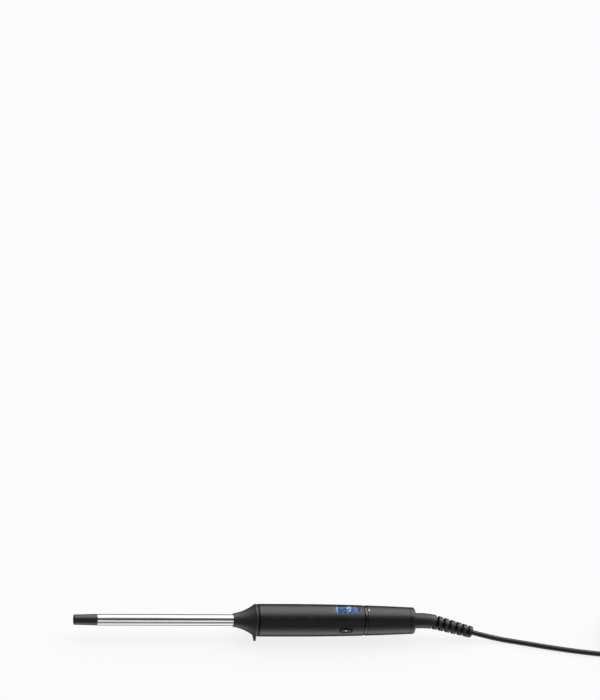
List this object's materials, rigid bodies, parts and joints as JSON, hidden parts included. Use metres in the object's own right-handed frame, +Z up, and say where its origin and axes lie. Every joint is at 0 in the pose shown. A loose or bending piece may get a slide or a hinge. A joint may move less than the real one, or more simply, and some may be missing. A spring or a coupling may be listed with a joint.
{
  "type": "curling wand",
  "caption": "Slim clipless hair curling wand with a metal barrel, flared heat guard, display, push button, turning rear section and a coiled mains lead.",
  "frame": {"origin": "on the surface that the wand rests on, below the middle of the wand without its lead", "axes": "+X from the tip towards the lead, +Z up, the display on top and the power button at -Y"},
  "size_m": [0.6881, 0.0711, 0.035],
  "materials": {
    "grip_plastic": "matt black moulded plastic with a fine texture",
    "gloss_plastic": "polished black plastic",
    "button_plastic": "satin dark grey plastic",
    "lens": "clear tinted window",
    "display": "blue backlit liquid crystal panel",
    "barrel_metal": "polished metal with fine lengthwise streaks",
    "heater_metal": "extruded aluminium",
    "steel": "zinc-plated steel",
    "ceramic": "fired alumina",
    "sensor": "glass-bead thermistor",
    "fuse_metal": "drawn metal can",
    "wire_white": "high-temperature sleeve",
    "chassis_plastic": "glass-filled plastic",
    "board": "glass-epoxy board with solder mask",
    "component_black": "moulded component body",
    "component_yellow": "film capacitor case",
    "brass": "turned brass",
    "boot_rubber": "soft black PVC",
    "cord_pvc": "satin black PVC lead",
    "tie_fabric": "woven hook-and-loop strap",
    "plug_plastic": "black moulded PVC",
    "pin_metal": "nickel-plated brass"
  },
  "bodies": {
    "cord_set": {"swivel_stem": "chassis_plastic", "stem_clip": "steel", "slip_rings": "brass", "cord_boot": "boot_rubber", "power_cord": "cord_pvc", "cord_coil": "cord_pvc", "cord_tail": "cord_pvc", "cord_tie": "tie_fabric", "plug_body": "plug_plastic", "plug_boot": "boot_rubber", "plug_pins": "pin_metal"},
    "handle": {"front_shell": "grip_plastic", "rear_cap": "grip_plastic", "guard_cone": "grip_plastic", "tip_cap": "grip_plastic", "accent_ring": "gloss_plastic", "display_lens": "lens", "lcd_panel": "display", "backlight": "display", "barrel": "barrel_metal", "heat_shoe_upper": "heater_metal", "heat_shoe_lower": "heater_metal", "barrel_mount": "steel", "mount_screws": "steel", "chassis_screws": "steel", "display_pins": "steel", "ceramic_heater": "ceramic", "power_resistor": "ceramic", "temperature_sensor": "sensor", "thermal_fuse": "fuse_metal", "filter_capacitor": "fuse_metal", "heater_leads": "wire_white", "sensor_leads": "wire_white", "mains_leads": "wire_white", "chassis_upper": "chassis_plastic", "chassis_lower": "chassis_plastic", "swivel_tube": "chassis_plastic", "control_board": "board", "resistor_track": "board", "triac": "component_black", "control_chip": "component_black", "power_switch": "component_black", "film_capacitor": "component_yellow", "brush_contacts": "brass"},
    "temperature_dial": {"temperature_dial": "grip_plastic", "wiper_ring": "brass"},
    "power_button": {"power_button": "button_plastic", "switch_plunger": "component_black"}
  },
  "joints": [
    {"name": "cord_swivel", "type": "hinge", "parent": "cord_set", "child": "handle", "pos_m": [0.1491, 0, 0.0193], "axis": [1, 0, 0], "continuous": true},
    {"name": "temperature_turn", "type": "hinge", "parent": "handle", "child": "temperature_dial", "pos_m": [0.1391, 0, 0.0193], "axis": [1, 0, 0], "range_deg": [-135, 135]},
    {"name": "power_press", "type": "slide", "parent": "handle", "child": "power_button", "axis": [0, 1, 0], "range_m": [0, 0.0007], "stiffness_N_per_m": 1500, "springref_m": -0.0004}
  ]
}
